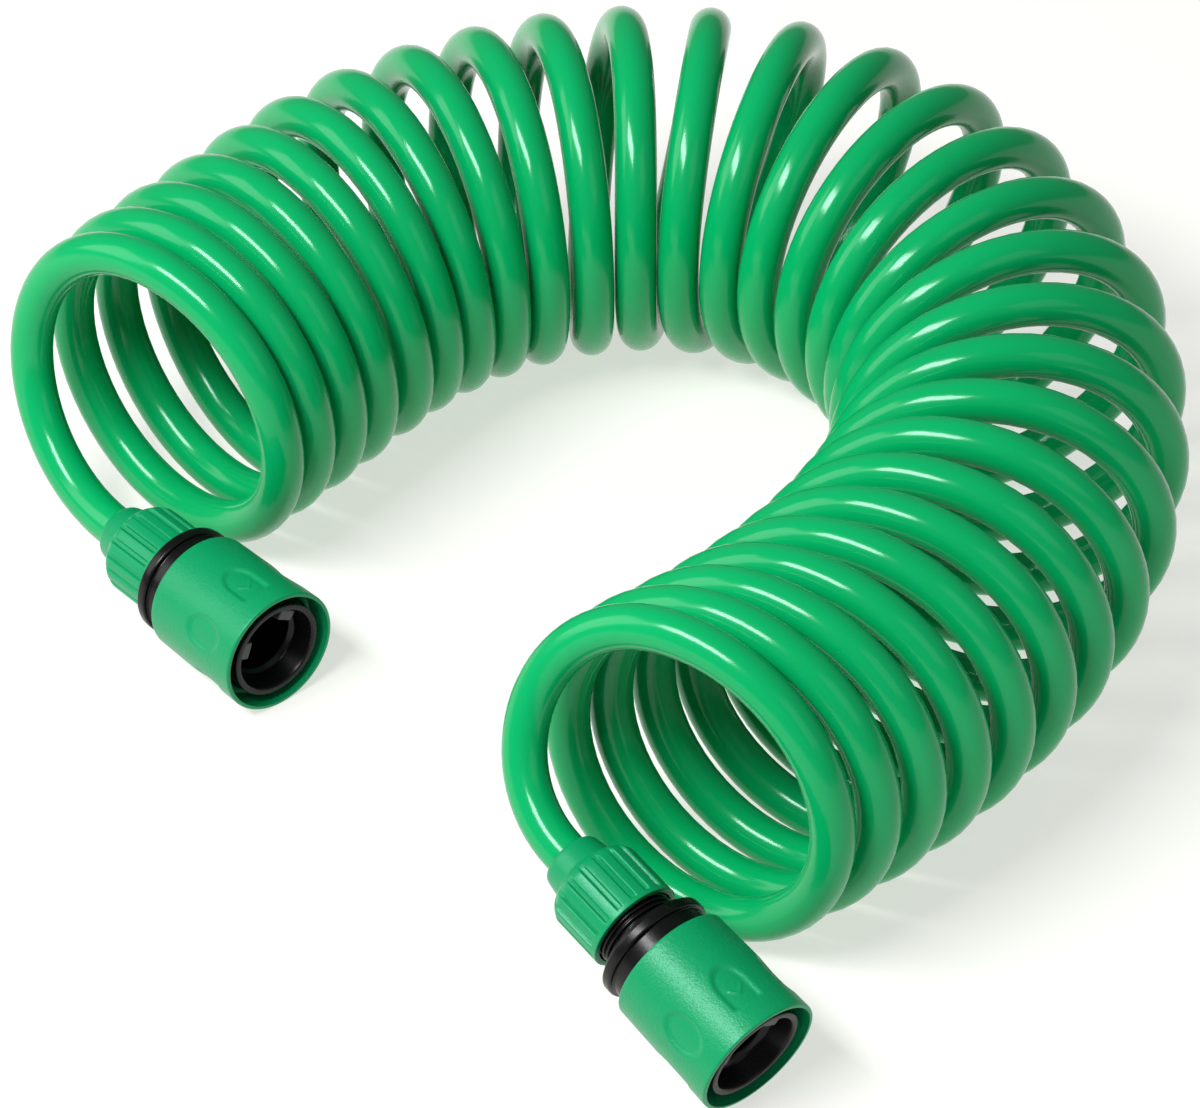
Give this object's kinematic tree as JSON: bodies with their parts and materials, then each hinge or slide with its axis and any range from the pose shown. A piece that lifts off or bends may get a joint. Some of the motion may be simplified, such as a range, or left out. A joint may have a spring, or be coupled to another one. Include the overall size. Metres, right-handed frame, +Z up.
{
  "type": "coil garden hose",
  "caption": "Self-coiling plastic garden hose lying in a wide C, with a spring-back click socket and a ribbed clamping nut on each end.",
  "frame": {"origin": "on the ground, in the middle of the bounding box of the whole hose as it lies", "axes": "+Z up from the ground; seen from the front, where the C opens to the left, +X to the right and +Y away"},
  "size_m": [0.3132, 0.3843, 0.0965],
  "materials": {
    "hose_green": "smooth satin gloss, bright green",
    "moulded_green": "finely grained moulded plastic, green",
    "moulded_black": "satin moulded plastic, black",
    "jaw_grey": "satin moulded plastic, dark grey"
  },
  "bodies": {
    "hose": {"hose_coil": "hose_green", "hose_tail_left": "hose_green", "hose_tail_right": "hose_green", "left_body": "moulded_black", "left_jaw_a": "jaw_grey", "left_jaw_b": "jaw_grey", "right_body": "moulded_black", "right_jaw_a": "jaw_grey", "right_jaw_b": "jaw_grey"},
    "left_sleeve": {"left_sleeve": "moulded_green"},
    "left_nut": {"left_nut": "moulded_green"},
    "right_sleeve": {"right_sleeve": "moulded_green"},
    "right_nut": {"right_nut": "moulded_green"}
  },
  "joints": [
    {"name": "left_sleeve_slide", "type": "slide", "parent": "hose", "child": "left_sleeve", "axis": [-0.6574, 0.7536, 0], "range_m": [0, 0.003], "stiffness_N_per_m": 300, "springref_m": -0.003},
    {"name": "left_nut_turn", "type": "hinge", "parent": "hose", "child": "left_nut", "pos_m": [-0.11786, 0.01475, 0.0173], "axis": [0.6574, -0.7536, 0], "continuous": true},
    {"name": "right_sleeve_slide", "type": "slide", "parent": "hose", "child": "right_sleeve", "axis": [-0.6352, 0.7307, 0.2504], "range_m": [0, 0.003], "stiffness_N_per_m": 300, "springref_m": -0.003},
    {"name": "right_nut_turn", "type": "hinge", "parent": "hose", "child": "right_nut", "pos_m": [0.00477, -0.14031, 0.03052], "axis": [0.6352, -0.7307, -0.2504], "continuous": true}
  ]
}
